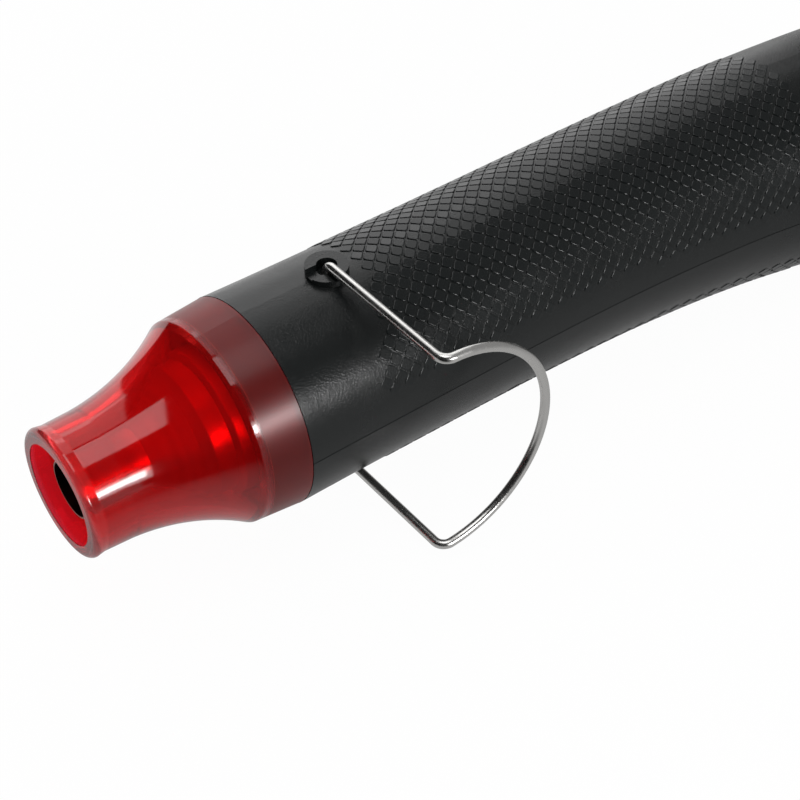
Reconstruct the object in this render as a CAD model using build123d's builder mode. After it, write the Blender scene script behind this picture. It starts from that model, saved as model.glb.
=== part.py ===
from build123d import *
from math import cos, hypot, pi, radians, sin
import os

os.makedirs("parts", exist_ok=True)

# Driving sizes of the handle, in millimetres
nozzle_reach = 37.8  # mouth to the front of the housing
housing_length = 198.0
front_radius = 20.0
rear_half_width = 25.6
rear_half_depth = 22.8
right_flat = 24.75  # from the seam out to the flat that the tail lies on
tail_drop = 17.0  # how far the tail's centre hangs towards the belly
wall = 2.2
tail_rounding = 7.0
seam_groove_depth = 0.25
seam_groove_half = 0.08
overrun = 1.0  # how far a cut runs past what it cuts
running_gap = 0.05
seat_gap = 0.1
part_gap = 0.3

# How far the half width, half depth and drop have grown, at even steps along the housing
station_shares = [
    (0.0, 0.0, 0.0),
    (0.0, -0.08, 0.0),
    (0.04, -0.13, 0.0),
    (0.11, -0.14, 0.003),
    (0.23, -0.08, 0.025),
    (0.41, 0.06, 0.085),
    (0.65, 0.32, 0.2),
    (0.88, 0.7, 0.39),
    (1.0, 1.0, 0.6),
    (0.92, 0.93, 0.8),
    (0.6, 0.35, 1.0),
]

# Nozzle
mouth_bore = 9.44
lip_radius = 12.0
lip_rounding = 1.1
neck_radius = 11.75
neck_start = 2.6
flare_start = 8.0
flare_radius = 11.95
flare_slope = 4.0  # degrees
hollow_start = 9.5
hollow_slope = 3.0  # degrees
collar_start = 28.7
collar_radius = 19.2
collar_rounding = 0.8
collar_end_radius = 19.95
nozzle_wall = 2.0
spigot_radius = 18.1
spigot_reach = 7.0
spigot_wall = 1.7
spigot_lip = 13.7
spigot_lip_depth = 1.8
joint_line = 0.15

# Steel outlet tube
outlet_radius = 5.4
sheet = 0.3
outlet_start = 2.2
outlet_end = 15.0
cone_end = 22.4
cone_radius = 10.4
first_step = 24.0
first_radius = 12.0
second_step = 27.5
shroud_radius = 13.3
shroud_end = 80.0
step_length = 0.6
step_rounding = 0.5
baffle_position = 72.0
baffle_depth = 1.8

# Heating element
sleeve_radius = 12.85
sleeve_wall = 0.5
sleeve_start = 30.0
sleeve_end = 77.5
plate_half = 9.2
plate_thickness = 0.6
plate_start = 33.0
coil_radius = 10.1
coil_wire = 0.4
coil_pitch = 4.8
coil_turns = 8
coil_start = 35.0
holder_thickness = 2.4
holder_rim = 1.7
holder_spoke = 3.0
holder_hub = 4.4
cutout_length = 8.0
cutout_width = 4.0
cutout_height = 2.6
cutout_offset = 5.2

# Fan, motor and its mount
fan_radius = 15.0
fan_start = 93.5
shaft_stub = 0.5
fan_depth = 9.0
fan_hub = 4.5
fan_blades = 7
blade_thickness = 1.1
blade_chord = 10.0
blade_pitch = 38.0  # degrees
shaft_radius = 1.0
bush_radius = 3.0
bush_depth = 3.0
motor_radius = 12.0
motor_start = 107.5
motor_length = 26.0
motor_rounding = 1.5
motor_wall = 2.6  # the can and its magnets together
end_cap_depth = 4.5
end_cap_radius = 11.2
mount_start = 110.0
mount_depth = 8.0
mount_ring = 1.8
mount_arm = 3.0
mount_reach = 17.7

# Circuit board behind the motor
board_thickness = 1.6
board_radius = 12.4
diode_radius = 1.35
diode_length = 5.2
diode_spacing = 5.0
diode_wire = 0.4
diode_wire_length = 9.0

# Leads
lead_radius = 0.75
lead_bend = 2.2
lead_stub = 3.6
lead_run = 16.6  # distance of the heater leads from the axis as they pass the fan
lead_rise = 4.5
lead_board_height = 11.2
switch_lead_height = 6.0
switch_lead_drop = 3.0

# Stand wire and its bosses
stand_position = 55.7
stand_wire_radius = 0.88
stand_half = 21.95
stand_leg = 32.45
stand_reach = 22.78
stand_corner = 2.06
stand_splay = 3.0  # degrees
pivot_bend = 1.75
pivot_end = 16.6
pivot_gap = 0.07
boss_inner = 16.8
boss_radius = 3.9
boss_face = 21.83
right_boss_face = 23.0  # stands past the wire, so the tool lies steady on this side
boss_well = 1.85
boss_well_floor = 19.9
ramp_floor = 20.95
notch_floor = 20.7
notch_half = 1.02

# Screws and their pillars
pillar_radius = 4.2
screw_shank = 1.45
screw_head = 2.75
screw_head_height = 1.8
screw_reach = 8.5
screw_seat = 3.5
screw_slot = 0.6
screw_slot_depth = 0.9
screw_slot_reach = 1.7
front_pillar_position = 86.0
front_pillar_offset = 13.6
middle_pillar_position = 150.5
middle_back_offset = 11.8
middle_belly_offset = 17.0
rear_pillar_position = 206.0
rear_belly_offset = 28.2
tail_pillar_position = 221.0
tail_back_offset = -0.6

# Rocker switch
switch_position = 184.0
switch_surface = 13.2  # height of its seat over the nozzle's axis
switch_tilt = -9.5  # degrees
bezel_length = 21.0
bezel_width = 15.0
bezel_height = 2.0
bezel_rounding = 1.6
switch_body_length = 18.6
switch_body_width = 12.6
switch_depth = 12.0
switch_wall = 1.0
rocker_length = 15.6
rocker_width = 9.6
rocker_rise = 3.4
rocker_drop = 3.0
rocker_valley = 1.1
rocker_turn = 9.0  # degrees each way from level
rocker_pin = 1.0
rocker_pin_reach = 0.9
rocker_pocket = 5.0
rocker_gap = 0.15
terminal_width = 4.8
terminal_thickness = 0.8
terminal_reach = 7.5
terminal_spacing = 6.0

# Air slots in both sides of the tail
slot_count = 6
slot_position = 196.0
slot_spacing = 4.6
slot_length = 15.0
slot_width = 1.9

# Cord inlet and clamp
inlet_bore = 3.3
inlet_outer = 4.9
inlet_flange = 6.3
inlet_flange_depth = 1.6
inlet_reach = 2.6
inlet_collar = 5.9
inlet_rounding = 0.8
clamp_position = 212.0
clamp_width = 6.0
clamp_length = 20.0
clamp_thickness = 2.4
clamp_lift = 3.5
clamp_screw_spacing = 14.0
clamp_screw_radius = 1.2
clamp_head = 2.3
clamp_head_height = 1.5
clamp_screw_reach = 5.5
clamp_post = 2.8


def at(x, y, z):
    # Along the tool from the mouth, towards its back, and up to the near shell
    return Vector(x, y, z)


def across(x, y=0):
    # Local x points up and local y to the belly
    return Plane(origin=at(x, y, 0), x_dir=(0, 0, 1), z_dir=(1, 0, 0))


def flat(z, x=0, y=0):
    return Plane(origin=at(x, y, z), x_dir=(1, 0, 0), z_dir=(0, 0, 1))


lengthwise = Plane(origin=at(0, 0, 0), x_dir=(1, 0, 0), z_dir=(0, -1, 0))
tool_axis = Axis(at(0, 0, 0), (1, 0, 0))
total_length = nozzle_reach + housing_length
seam_plane = flat(0)


def station(number):
    width, depth, drop = station_shares[number]
    along = number / (len(station_shares) - 1)
    return (
        nozzle_reach + along * housing_length,
        front_radius + width * (rear_half_width - front_radius),
        front_radius + depth * (rear_half_depth - front_radius),
        -drop * tail_drop,
    )


stations = [station(number) for number in range(len(station_shares))]


def centre_at(x):
    # Height of the handle's centre line over the nozzle's axis
    for (x0, _, _, y0), (x1, _, _, y1) in zip(stations, stations[1:]):
        if x <= x1:
            return y0 + (y1 - y0) * (x - x0) / (x1 - x0)
    return stations[-1][3]


def handle_form(inset):
    with BuildPart() as form:
        for x, half_width, half_depth, y in stations:
            with BuildSketch(across(min(x, total_length - inset), y)):
                Ellipse(half_width - inset, half_depth - inset)
        loft()
        tail = form.faces().sort_by(Axis.X)[-1]
        fillet(tail.edges(), tail_rounding - inset)
        with BuildSketch(flat(inset - right_flat)):
            Rectangle(4 * total_length, 2 * total_length)
        extrude(amount=2 * rear_half_width, mode=Mode.INTERSECT)
    return form.part


# Whole housing before it is parted into two shells
outer_form = handle_form(0)
inner_form = handle_form(wall)
groove_core = handle_form(seam_groove_depth)

# The origin is under the middle of the whole part
form_box = outer_form.bounding_box()
origin = at(
    (total_length + inlet_reach) / 2,
    (form_box.max.Y + form_box.min.Y) / 2,
    form_box.min.Z,
)


def finish(piece, name):
    piece.part.move(Location(-origin))
    piece.part.label = name
    export_step(piece.part, "parts/" + name + ".step")


def ring(plane, outer, inner):
    with BuildSketch(plane) as sketch:
        Circle(outer)
        Circle(inner, mode=Mode.SUBTRACT)
    return sketch.sketch


# Spigot that the nozzle's collar goes over
spigot_start = nozzle_reach - spigot_reach
spigot_hole = spigot_radius - spigot_wall
with BuildPart() as spigot:
    extrude(ring(across(spigot_start), spigot_radius, spigot_hole), amount=spigot_reach + wall)
    extrude(ring(across(spigot_start), spigot_radius, spigot_lip), amount=spigot_lip_depth)
    extrude(ring(across(nozzle_reach), front_radius - wall / 2, spigot_hole), amount=wall)

# Thin line all round where the two shells meet
with BuildPart() as seam_groove:
    with BuildSketch(flat(-seam_groove_half)):
        with BuildLine():
            Polyline(
                (nozzle_reach, -total_length),
                (2 * total_length, -total_length),
                (2 * total_length, total_length),
                (nozzle_reach, total_length),
                close=True,
            )
        make_face()
    extrude(amount=2 * seam_groove_half)
    add(groove_core, mode=Mode.SUBTRACT)

switch_lean = radians(switch_tilt)
switch_origin = at(switch_position, switch_surface, 0)
switch_out = Vector(-sin(switch_lean), cos(switch_lean), 0)
switch_along = Vector(cos(switch_lean), sin(switch_lean), 0)
switch_plane = Plane(origin=switch_origin, x_dir=switch_along, z_dir=switch_out)

pillar_places = [
    (front_pillar_position, front_pillar_offset),
    (front_pillar_position, -front_pillar_offset),
    (middle_pillar_position, middle_back_offset),
    (middle_pillar_position, -middle_belly_offset),
    (rear_pillar_position, -rear_belly_offset),
    (tail_pillar_position, tail_back_offset),
]
tail_centre = centre_at(total_length)
clamp_centre = centre_at(clamp_position)
slot_centre = centre_at(slot_position)

with BuildPart() as bosses:
    with BuildSketch(flat(-right_boss_face, stand_position)):
        Circle(boss_radius)
    extrude(amount=boss_face + right_boss_face)
    with BuildSketch(across(stand_position - 2 * boss_radius)):
        Circle(boss_inner)
    extrude(amount=boss_radius * 4, mode=Mode.SUBTRACT)

with BuildPart() as housing:
    add(outer_form)
    add(inner_form, mode=Mode.SUBTRACT)
    add(spigot.part)
    add(seam_groove.part, mode=Mode.SUBTRACT)
    add(bosses.part)
    # Ring that carries the steel tube and keeps the air inside it
    baffle = ring(across(baffle_position), front_radius - wall / 2, shroud_radius + seat_gap)
    extrude(baffle, amount=baffle_depth)
    # Each boss has a well, two notches and a low ramp between them
    for side in (1, -1):
        with BuildSketch(flat(side * ramp_floor, stand_position)):
            with BuildLine():
                Polyline(
                    (notch_half, notch_half),
                    (-2 * boss_radius, notch_half),
                    (-2 * boss_radius, -2 * boss_radius),
                    (notch_half, -2 * boss_radius),
                    close=True,
                )
            make_face()
        extrude(amount=side * boss_radius, mode=Mode.SUBTRACT)
        with BuildSketch(flat(side * notch_floor, stand_position)):
            Rectangle(2 * boss_radius, 2 * notch_half, align=(Align.MAX, Align.CENTER))
            Rectangle(2 * notch_half, 2 * boss_radius, align=(Align.CENTER, Align.MAX))
        extrude(amount=side * boss_radius, mode=Mode.SUBTRACT)
        with BuildSketch(flat(side * boss_well_floor, stand_position)):
            Circle(boss_well)
        extrude(amount=side * boss_radius, mode=Mode.SUBTRACT)
        with BuildSketch(flat(0, stand_position)):
            Circle(stand_wire_radius + pivot_gap)
        extrude(amount=side * (right_boss_face + overrun), mode=Mode.SUBTRACT)
    # Flat land and window of the switch
    with BuildSketch(switch_plane):
        Rectangle(bezel_length + part_gap, bezel_width + part_gap)
    extrude(amount=wall + bezel_height, mode=Mode.SUBTRACT)
    with BuildSketch(switch_plane):
        Rectangle(switch_body_length + part_gap, switch_body_width + part_gap)
    extrude(amount=-3 * wall, mode=Mode.SUBTRACT)
    # Air slots through both sides
    with BuildSketch(flat(-rear_half_width - overrun, slot_position, slot_centre)):
        with GridLocations(slot_spacing, slot_length, slot_count, 1):
            SlotOverall(slot_length, slot_width, rotation=90)
    extrude(amount=2 * (rear_half_width + overrun), mode=Mode.SUBTRACT)
    # Cord inlet
    with BuildSketch(across(total_length + overrun, tail_centre)):
        Circle(inlet_outer + seat_gap)
    extrude(amount=-(wall + 2 * overrun), mode=Mode.SUBTRACT)

with BuildPart() as pillars:
    with BuildSketch(flat(-rear_half_width)):
        with Locations(*pillar_places):
            Circle(pillar_radius)
    extrude(amount=2 * rear_half_width)
    add(groove_core, mode=Mode.INTERSECT)

# Posts and saddle of the cord clamp
with BuildPart() as clamp_posts:
    with BuildSketch(flat(-clamp_lift, clamp_position, clamp_centre)):
        with GridLocations(clamp_length, clamp_screw_spacing, 1, 2):
            Circle(clamp_post)
    extrude(amount=rear_half_width)
    with BuildSketch(flat(clamp_lift, clamp_position, clamp_centre)):
        Rectangle(clamp_width / 2, clamp_screw_spacing)
    extrude(amount=rear_half_width - clamp_lift)
    add(groove_core, mode=Mode.INTERSECT)

with BuildPart() as left_housing:
    add(housing.part)
    add(pillars.part)
    split(bisect_by=seam_plane, keep=Keep.TOP)
    add(clamp_posts.part)
    with BuildSketch(seam_plane):
        with Locations(*pillar_places):
            Circle(screw_shank + running_gap)
    extrude(amount=screw_reach + part_gap, mode=Mode.SUBTRACT)
    with BuildSketch(flat(-clamp_lift, clamp_position, clamp_centre)):
        with GridLocations(clamp_length, clamp_screw_spacing, 1, 2):
            Circle(clamp_screw_radius + running_gap)
    extrude(amount=clamp_screw_reach + part_gap, mode=Mode.SUBTRACT)
finish(left_housing, "left_housing")

with BuildPart() as right_housing:
    add(housing.part)
    add(pillars.part)
    split(bisect_by=seam_plane, keep=Keep.BOTTOM)
    with BuildSketch(seam_plane):
        with Locations(*pillar_places):
            Circle(screw_shank + seat_gap)
    extrude(amount=-screw_seat, mode=Mode.SUBTRACT)
    with BuildSketch(flat(-screw_seat)):
        with Locations(*pillar_places):
            Circle(screw_head + seat_gap)
    extrude(amount=-rear_half_width, mode=Mode.SUBTRACT)
finish(right_housing, "right_housing")

with BuildPart() as housing_screws:
    with BuildSketch(flat(-screw_seat)):
        with Locations(*pillar_places):
            Circle(screw_head)
    extrude(amount=-screw_head_height)
    with BuildSketch(flat(-screw_seat)):
        with Locations(*pillar_places):
            Circle(screw_shank)
    extrude(amount=screw_seat + screw_reach)
    with BuildSketch(flat(-screw_seat - screw_head_height)):
        with Locations(*pillar_places):
            Rectangle(2 * screw_slot_reach, screw_slot)
            Rectangle(screw_slot, 2 * screw_slot_reach)
    extrude(amount=screw_slot_depth, mode=Mode.SUBTRACT)
finish(housing_screws, "housing_screws")

# Nozzle: thick lip, hollow flare and a collar over the spigot
with BuildPart() as nozzle:
    with BuildSketch(lengthwise):
        with BuildLine():
            Line((0, mouth_bore), (0, lip_radius - lip_rounding))
            ThreePointArc(
                (0, lip_radius - lip_rounding),
                (lip_rounding * (1 - cos(pi / 4)), lip_radius - lip_rounding * (1 - sin(pi / 4))),
                (lip_rounding, lip_radius),
            )
            Polyline((lip_rounding, lip_radius), (neck_start, neck_radius), (flare_start, flare_radius))
            TangentArc(
                (flare_start, flare_radius),
                (collar_start, collar_radius),
                tangent=(cos(radians(flare_slope)), sin(radians(flare_slope))),
            )
            Polyline(
                (collar_start, collar_radius),
                (nozzle_reach - joint_line, collar_end_radius),
                (nozzle_reach - joint_line, spigot_radius + seat_gap),
                (nozzle_reach - spigot_reach - seat_gap, spigot_radius + seat_gap),
                (nozzle_reach - spigot_reach - seat_gap, collar_radius - nozzle_wall),
                (collar_start, collar_radius - nozzle_wall),
            )
            TangentArc(
                (hollow_start, mouth_bore),
                (collar_start, collar_radius - nozzle_wall),
                tangent=(cos(radians(hollow_slope)), sin(radians(hollow_slope))),
            )
            Line((hollow_start, mouth_bore), (0, mouth_bore))
        make_face()
    revolve(axis=tool_axis)
    rings = nozzle.edges().filter_by(GeomType.CIRCLE)
    fillet(rings.sort_by(lambda edge: abs(edge.radius - collar_radius))[0], collar_rounding)
finish(nozzle, "nozzle")


def tube_form(inset, end_run):
    with BuildPart() as form:
        with BuildSketch(lengthwise):
            with BuildLine():
                Polyline(
                    (outlet_start - end_run, 0),
                    (outlet_start - end_run, outlet_radius - inset),
                    (outlet_end + inset, outlet_radius - inset),
                    (cone_end + inset, cone_radius - inset),
                    (first_step + inset, first_radius - inset),
                    (second_step + inset, first_radius - inset),
                    (second_step + step_length + inset, shroud_radius - inset),
                    (shroud_end + end_run, shroud_radius - inset),
                    (shroud_end + end_run, 0),
                    close=True,
                )
            make_face()
        revolve(axis=tool_axis)
        shoulders = form.edges().filter_by(GeomType.CIRCLE).sort_by(Axis.X)
        fillet([shoulders[3], shoulders[5]], step_rounding)
    return form.part


with BuildPart() as outlet_tube:
    add(tube_form(0, 0))
    add(tube_form(sheet, overrun), mode=Mode.SUBTRACT)
finish(outlet_tube, "outlet_tube")

# Heating element
with BuildPart() as mica_sleeve:
    sleeve_ring = ring(across(sleeve_start), sleeve_radius, sleeve_radius - sleeve_wall)
    extrude(sleeve_ring, amount=sleeve_end - sleeve_start)
finish(mica_sleeve, "mica_sleeve")

plate_middle = (plate_start + sleeve_end) / 2
for name, plane, slot_start, slot_end in (
    ("mica_plate_a", seam_plane, plate_start, plate_middle),
    ("mica_plate_b", lengthwise, plate_middle, sleeve_end),
):
    with BuildPart() as plate:
        with BuildSketch(plane):
            with Locations((plate_middle, 0)):
                Rectangle(sleeve_end - plate_start, 2 * plate_half)
            with Locations(((slot_start + slot_end) / 2, 0)):
                Rectangle(slot_end - slot_start, plate_thickness + 2 * seat_gap, mode=Mode.SUBTRACT)
        extrude(amount=plate_thickness / 2, both=True)
    finish(plate, name)

with BuildPart() as heating_coil:
    with BuildLine() as coil_path:
        for half in range(2 * coil_turns):
            side = 1 if half % 2 == 0 else -1
            start_x = coil_start + half * coil_pitch / 2
            ThreePointArc(
                at(start_x, side * coil_radius, 0),
                at(start_x + coil_pitch / 4, 0, side * hypot(coil_radius, coil_pitch / 4)),
                at(start_x + coil_pitch / 2, -side * coil_radius, 0),
            )
    with BuildSketch(Plane(origin=coil_path.line @ 0, z_dir=coil_path.line % 0)):
        Circle(coil_wire)
    sweep()
finish(heating_coil, "heating_coil")

# Least gap from each turn of the coil to the next ones
coil_samples = 24 * coil_turns
coil_points = [coil_path.line @ (number / coil_samples) for number in range(coil_samples + 1)]
half_turn = coil_samples // (2 * coil_turns)
coil_gap = min(
    (first - second).length
    for number, first in enumerate(coil_points)
    for second in coil_points[number + half_turn:]
)
print("least gap of the coil", coil_gap - 2 * coil_wire)

with BuildPart() as element_holder:
    extrude(ring(across(sleeve_end), sleeve_radius, sleeve_radius - holder_rim), amount=holder_thickness)
    with BuildSketch(across(sleeve_end)):
        Circle(holder_hub)
        Rectangle(2 * (sleeve_radius - holder_rim / 2), holder_spoke)
        Rectangle(holder_spoke, 2 * (sleeve_radius - holder_rim / 2))
    extrude(amount=holder_thickness)
finish(element_holder, "element_holder")

holder_end = sleeve_end + holder_thickness
with BuildPart() as thermal_cutout:
    with BuildSketch(across(holder_end)):
        with Locations((cutout_offset, 0)):
            Rectangle(cutout_height, cutout_width)
    extrude(amount=cutout_length)
    fillet(thermal_cutout.edges().filter_by(Axis.X), cutout_height / 4)
finish(thermal_cutout, "thermal_cutout")

# Fan and motor
with BuildPart() as fan:
    with BuildSketch(across(fan_start)):
        Circle(fan_hub)
    extrude(amount=fan_depth)
    for number in range(fan_blades):
        turn = 2 * pi * number / fan_blades
        outward = Vector(0, cos(turn), sin(turn))
        blade_root = at(fan_start + fan_depth / 2, 0, 0) + outward * (fan_hub / 2)
        with BuildSketch(Plane(origin=blade_root, x_dir=(1, 0, 0), z_dir=outward)):
            Rectangle(blade_chord, blade_thickness, rotation=blade_pitch)
        extrude(amount=fan_radius)
    with BuildSketch(across(fan_start)):
        Circle(fan_radius)
    extrude(amount=fan_depth, mode=Mode.INTERSECT)
    with BuildSketch(across(fan_start)):
        Circle(shaft_radius + running_gap)
    extrude(amount=fan_depth, mode=Mode.SUBTRACT)
finish(fan, "fan")

motor_end = motor_start + motor_length
with BuildPart() as motor_shaft:
    with BuildSketch(across(fan_start - shaft_stub)):
        Circle(shaft_radius)
    extrude(amount=motor_end + end_cap_depth / 2 - fan_start + shaft_stub)
finish(motor_shaft, "motor_shaft")

with BuildPart() as motor_bush:
    bush_plane = across(motor_start - bush_depth)
    extrude(ring(bush_plane, bush_radius, shaft_radius + running_gap), amount=bush_depth)
finish(motor_bush, "motor_bush")

with BuildPart() as motor_can:
    with BuildSketch(across(motor_start)):
        Circle(motor_radius)
    extrude(amount=motor_length)
    fillet(motor_can.edges().sort_by(Axis.X)[0], motor_rounding)
    with BuildSketch(across(motor_start)):
        Circle(shaft_radius + running_gap)
    extrude(amount=motor_length, mode=Mode.SUBTRACT)
    with BuildSketch(across(motor_start + motor_wall)):
        Circle(motor_radius - motor_wall)
    extrude(amount=motor_length, mode=Mode.SUBTRACT)
finish(motor_can, "motor_can")

with BuildPart() as motor_end_cap:
    with BuildSketch(across(motor_end)):
        Circle(end_cap_radius)
    extrude(amount=end_cap_depth)
    with BuildSketch(across(motor_end)):
        Circle(shaft_radius + running_gap)
    extrude(amount=end_cap_depth / 2 + part_gap, mode=Mode.SUBTRACT)
finish(motor_end_cap, "motor_end_cap")

with BuildPart() as motor_mount:
    with BuildSketch(across(mount_start)):
        Circle(motor_radius + seat_gap + mount_ring)
        Rectangle(2 * mount_reach, mount_arm, rotation=45)
        Rectangle(mount_arm, 2 * mount_reach, rotation=45)
        Circle(motor_radius + seat_gap, mode=Mode.SUBTRACT)
    extrude(amount=mount_depth)
finish(motor_mount, "motor_mount")

# Circuit board and its four rectifier diodes
board_start = motor_end + end_cap_depth
board_end = board_start + board_thickness
with BuildPart() as circuit_board:
    with BuildSketch(across(board_start)):
        Circle(board_radius)
    extrude(amount=board_thickness)
finish(circuit_board, "circuit_board")

with BuildPart() as rectifier_diodes:
    with BuildSketch(lengthwise):
        with Locations((board_end + diode_radius, 0)):
            with GridLocations(diode_spacing, diode_spacing, 1, 4):
                Circle(diode_radius)
    extrude(amount=diode_length / 2, both=True)
    with BuildSketch(lengthwise):
        with Locations((board_end + diode_radius, 0)):
            with GridLocations(diode_spacing, diode_spacing, 1, 4):
                Circle(diode_wire)
    extrude(amount=diode_wire_length / 2, both=True)
    with BuildSketch(across(board_end)):
        with GridLocations(diode_spacing, diode_wire_length - 2 * diode_wire, 4, 2):
            Circle(diode_wire)
    extrude(amount=diode_radius)
finish(rectifier_diodes, "rectifier_diodes")


def lead(points):
    with BuildPart() as tube:
        with BuildLine() as route:
            FilletPolyline(*points, radius=lead_bend)
        with BuildSketch(Plane(origin=route.line @ 0, z_dir=route.line % 0)):
            Circle(lead_radius)
        sweep()
    return tube.part


lead_root = sleeve_radius - holder_rim / 2
with BuildPart() as heater_leads:
    for side in (1, -1):
        add(
            lead(
                [
                    at(holder_end, 0, side * lead_root),
                    at(holder_end + lead_stub, 0, side * lead_root),
                    at(holder_end + lead_stub + lead_rise, 0, side * lead_run),
                    at(board_end + lead_stub + lead_rise, 0, side * lead_run),
                    at(board_end + lead_stub + lead_rise, 0, side * lead_board_height),
                    at(board_end, 0, side * lead_board_height),
                ]
            )
        )
finish(heater_leads, "heater_leads")

# Rocker switch on the back of the tail
rocker_plane = Plane(origin=switch_origin, x_dir=switch_along, z_dir=(0, 0, 1))
with BuildPart() as switch_frame:
    with BuildSketch(switch_plane):
        RectangleRounded(bezel_length, bezel_width, bezel_rounding)
    extrude(amount=bezel_height)
    rim = switch_frame.faces().sort_by(Axis(switch_origin, switch_out))[-1]
    fillet(rim.edges(), bezel_rounding / 2)
    with BuildSketch(switch_plane):
        Rectangle(switch_body_length, switch_body_width)
    extrude(amount=-switch_depth)
    with BuildSketch(switch_plane.offset(-rocker_pocket)):
        Rectangle(rocker_length + 2 * rocker_gap, rocker_width + 2 * rocker_gap)
    extrude(amount=rocker_pocket + bezel_height, mode=Mode.SUBTRACT)
    with BuildSketch(rocker_plane):
        Circle(rocker_pin + running_gap)
    extrude(amount=rocker_width / 2 + rocker_pin_reach + rocker_gap, both=True, mode=Mode.SUBTRACT)
finish(switch_frame, "switch_frame")

with BuildPart() as rocker:
    tipped = rocker_plane.rotated((0, 0, rocker_turn))
    with BuildSketch(tipped):
        Circle(rocker_length / 2)
        with BuildLine():
            Polyline(
                (-rocker_length, rocker_rise),
                (0, rocker_rise - rocker_valley),
                (rocker_length, rocker_rise),
                (rocker_length, -rocker_drop),
                (-rocker_length, -rocker_drop),
                close=True,
            )
        make_face(mode=Mode.INTERSECT)
    extrude(amount=rocker_width / 2, both=True)
    with BuildSketch(rocker_plane):
        Circle(rocker_pin)
    extrude(amount=rocker_width / 2 + rocker_pin_reach, both=True)
finish(rocker, "rocker")

with BuildPart() as switch_terminals:
    with BuildSketch(switch_plane.offset(-switch_depth)):
        with GridLocations(terminal_width, terminal_spacing, 1, 2):
            Rectangle(terminal_width, terminal_thickness)
    extrude(amount=-terminal_reach)
finish(switch_terminals, "switch_terminals")

with BuildPart() as switch_leads:
    for side in (1, -1):
        tip = switch_origin - switch_out * (switch_depth + terminal_reach)
        tip = tip + at(0, 0, side * terminal_spacing / 2)
        turn_point = tip - switch_out * switch_lead_drop
        add(
            lead(
                [
                    tip,
                    turn_point,
                    at(board_end + lead_stub + lead_rise, turn_point.Y, side * switch_lead_height),
                    at(board_end, turn_point.Y, side * switch_lead_height),
                ]
            )
        )
finish(switch_leads, "switch_leads")

# Bush of the cord inlet, gripped by the tail's wall
with BuildPart() as inlet_bush:
    with BuildSketch(across(total_length - wall - inlet_flange_depth, tail_centre)):
        Circle(inlet_flange)
    extrude(amount=inlet_flange_depth)
    with BuildSketch(across(total_length - wall, tail_centre)):
        Circle(inlet_outer)
    extrude(amount=wall)
    with BuildSketch(across(total_length, tail_centre)):
        Circle(inlet_collar)
    extrude(amount=inlet_reach)
    fillet(inlet_bush.edges().sort_by(Axis.X)[-1], inlet_rounding)
    with BuildSketch(across(total_length + inlet_reach, tail_centre)):
        Circle(inlet_bore)
    extrude(amount=-(inlet_reach + wall + inlet_flange_depth), mode=Mode.SUBTRACT)
finish(inlet_bush, "inlet_bush")

with BuildPart() as cord_clamp:
    with BuildSketch(flat(-clamp_lift, clamp_position, clamp_centre)):
        SlotOverall(clamp_length, clamp_width, rotation=90)
        with GridLocations(clamp_length, clamp_screw_spacing, 1, 2):
            Circle(clamp_screw_radius + seat_gap, mode=Mode.SUBTRACT)
    extrude(amount=-clamp_thickness)
finish(cord_clamp, "cord_clamp")

with BuildPart() as clamp_screws:
    with BuildSketch(flat(-clamp_lift - clamp_thickness, clamp_position, clamp_centre)):
        with GridLocations(clamp_length, clamp_screw_spacing, 1, 2):
            Circle(clamp_head)
    extrude(amount=-clamp_head_height)
    with BuildSketch(flat(-clamp_lift - clamp_thickness, clamp_position, clamp_centre)):
        with GridLocations(clamp_length, clamp_screw_spacing, 1, 2):
            Circle(clamp_screw_radius)
    extrude(amount=clamp_thickness + clamp_screw_reach)
finish(clamp_screws, "clamp_screws")

# Bent wire stand, one rod from pivot to pivot
splay = radians(stand_splay)
half_chord = stand_half - stand_corner * sin(splay)
with BuildPart() as stand_wire:
    with BuildLine() as rod:
        for side in (1, -1):
            top = side * stand_half
            foot = at(stand_position + stand_corner * cos(splay), -stand_leg, side * half_chord)
            Line(at(stand_position, 0, side * pivot_end), at(stand_position, 0, top - side * pivot_bend))
            TangentArc(
                at(stand_position, 0, top - side * pivot_bend),
                at(stand_position, -pivot_bend, top),
                tangent=(0, 0, side),
            )
            Line(at(stand_position, -pivot_bend, top), at(stand_position, stand_corner - stand_leg, top))
            TangentArc(at(stand_position, stand_corner - stand_leg, top), foot, tangent=(0, -1, 0))
        ThreePointArc(
            at(stand_position + stand_corner * cos(splay), -stand_leg, half_chord),
            at(stand_position + stand_reach, -stand_leg, 0),
            at(stand_position + stand_corner * cos(splay), -stand_leg, -half_chord),
        )
    rod_path = Wire(rod.edges())
    with BuildSketch(Plane(origin=at(stand_position, 0, pivot_end), z_dir=(0, 0, 1))):
        Circle(stand_wire_radius)
    sweep(path=rod_path)
finish(stand_wire, "stand_wire")

print("origin", origin)
print("switch pivot", switch_origin - origin, "along", switch_along, "out", switch_out)
print("stand pivot", at(stand_position, 0, 0) - origin)
print("tail centre", at(total_length, tail_centre, 0) - origin)
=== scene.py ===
from math import cos, pi, radians, sin

import bmesh
import bpy
from mathutils import Matrix, Vector
from mathutils.bvhtree import BVHTree


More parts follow.
